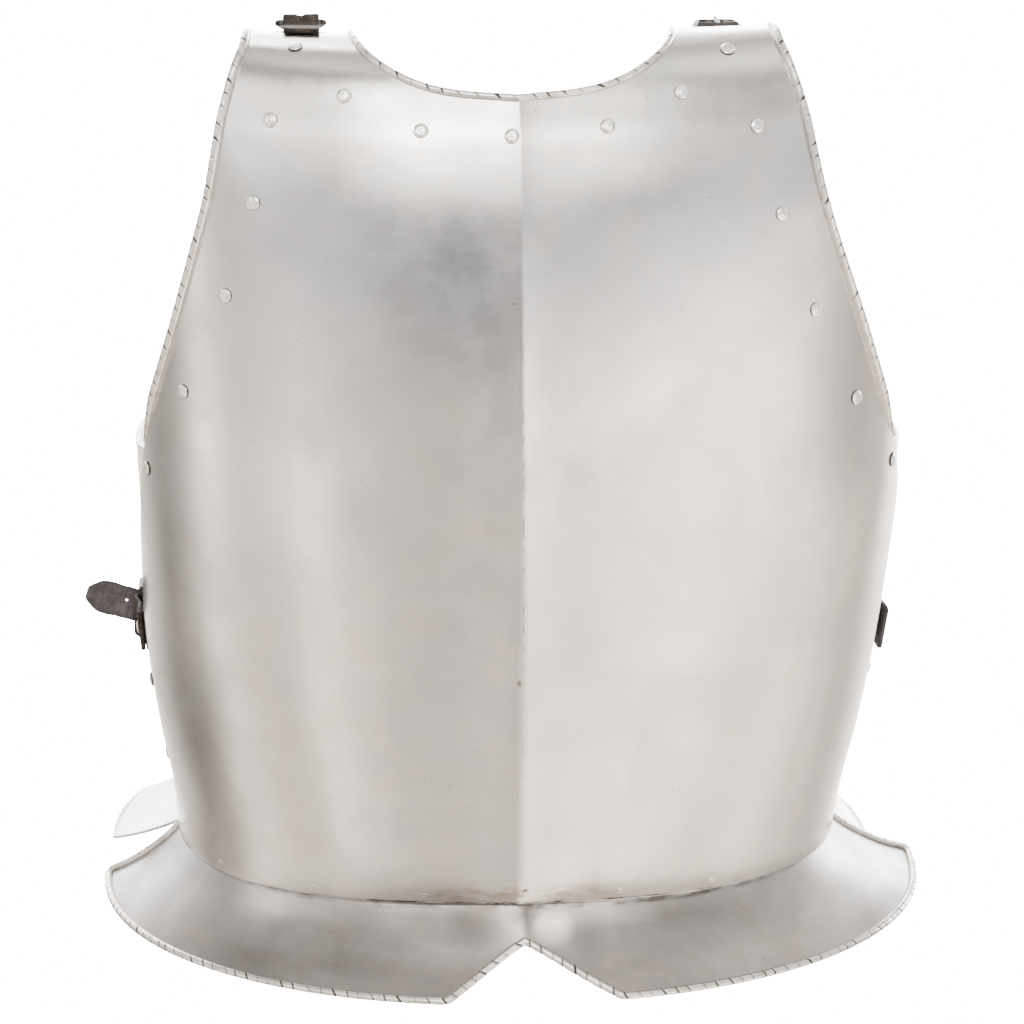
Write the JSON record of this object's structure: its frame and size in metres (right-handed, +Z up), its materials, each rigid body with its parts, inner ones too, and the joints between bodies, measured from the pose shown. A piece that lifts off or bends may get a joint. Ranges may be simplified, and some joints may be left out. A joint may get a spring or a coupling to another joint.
{
  "type": "steel cuirass breastplate",
  "caption": "Steel breastplate with medial ridge, rolled arm and neck openings, riveted side plates, flared notched skirt, shoulder buckles and a leather waist strap.",
  "frame": {"origin": "middle of the outline at the ground under the rim of the skirt", "axes": "+Z up, -Y the front of the breast, +X the right side as seen from the front"},
  "size_m": [0.4416, 0.2997, 0.484],
  "materials": {
    "plate_steel": "hand-polished mild steel plate, satin, with faint clouds, soft streaks and light specks of rust",
    "rivet_steel": "bright steel rivets with shallow domed heads",
    "iron": "blackened iron wire of the buckles, rubbed bright at its edges",
    "leather": "dark brown oiled vegetable-tanned leather, dry and worn, with cut edges"
  },
  "bodies": {
    "root": {"breast_plate": "plate_steel", "skirt_plate": "plate_steel", "side_plate_left": "plate_steel", "side_plate_right": "plate_steel", "shoulder_chape_left": "leather", "shoulder_chape_right": "leather", "side_chape": "leather", "waist_strap": "leather", "side_buckle": "iron", "side_tongue": "iron", "rivet_neck_centre": "rivet_steel", "rivet_neck_left_1": "rivet_steel", "rivet_neck_left_2": "rivet_steel", "rivet_neck_right_1": "rivet_steel", "rivet_neck_right_2": "rivet_steel", "rivet_arm_left_1": "rivet_steel", "rivet_arm_left_2": "rivet_steel", "rivet_arm_left_3": "rivet_steel", "rivet_arm_left_4": "rivet_steel", "rivet_arm_right_1": "rivet_steel", "rivet_arm_right_2": "rivet_steel", "rivet_arm_right_3": "rivet_steel", "rivet_arm_right_4": "rivet_steel", "rivet_side_left_1": "rivet_steel", "rivet_side_left_2": "rivet_steel", "rivet_side_left_3": "rivet_steel", "rivet_side_right_1": "rivet_steel", "rivet_side_right_2": "rivet_steel", "rivet_side_right_3": "rivet_steel", "rivet_waist_1": "rivet_steel", "rivet_waist_2": "rivet_steel", "rivet_waist_3": "rivet_steel", "rivet_waist_4": "rivet_steel", "rivet_waist_5": "rivet_steel", "rivet_waist_6": "rivet_steel", "rivet_shoulder_left": "rivet_steel", "rivet_shoulder_right": "rivet_steel", "rivet_chape_side": "rivet_steel", "rivet_strap": "rivet_steel"},
    "buckle_left": {"shoulder_buckle_left": "iron"},
    "tongue_left": {"shoulder_tongue_left": "iron"},
    "buckle_right": {"shoulder_buckle_right": "iron"},
    "tongue_right": {"shoulder_tongue_right": "iron"}
  },
  "joints": [
    {"name": "buckle_left_swing", "type": "hinge", "parent": "root", "child": "buckle_left", "pos_m": [-0.1037, -0.024, 0.4795], "axis": [1, 0, 0], "range_deg": [-10, 60]},
    {"name": "tongue_left_swing", "type": "hinge", "parent": "buckle_left", "child": "tongue_left", "pos_m": [-0.1037, -0.024, 0.4795], "axis": [1, 0, 0], "range_deg": [0, 70]},
    {"name": "buckle_right_swing", "type": "hinge", "parent": "root", "child": "buckle_right", "pos_m": [0.1048, -0.0226, 0.4726], "axis": [1, 0, 0], "range_deg": [-20, 45]},
    {"name": "tongue_right_swing", "type": "hinge", "parent": "buckle_right", "child": "tongue_right", "pos_m": [0.1048, -0.0226, 0.4726], "axis": [1, 0, 0], "range_deg": [0, 70]}
  ]
}
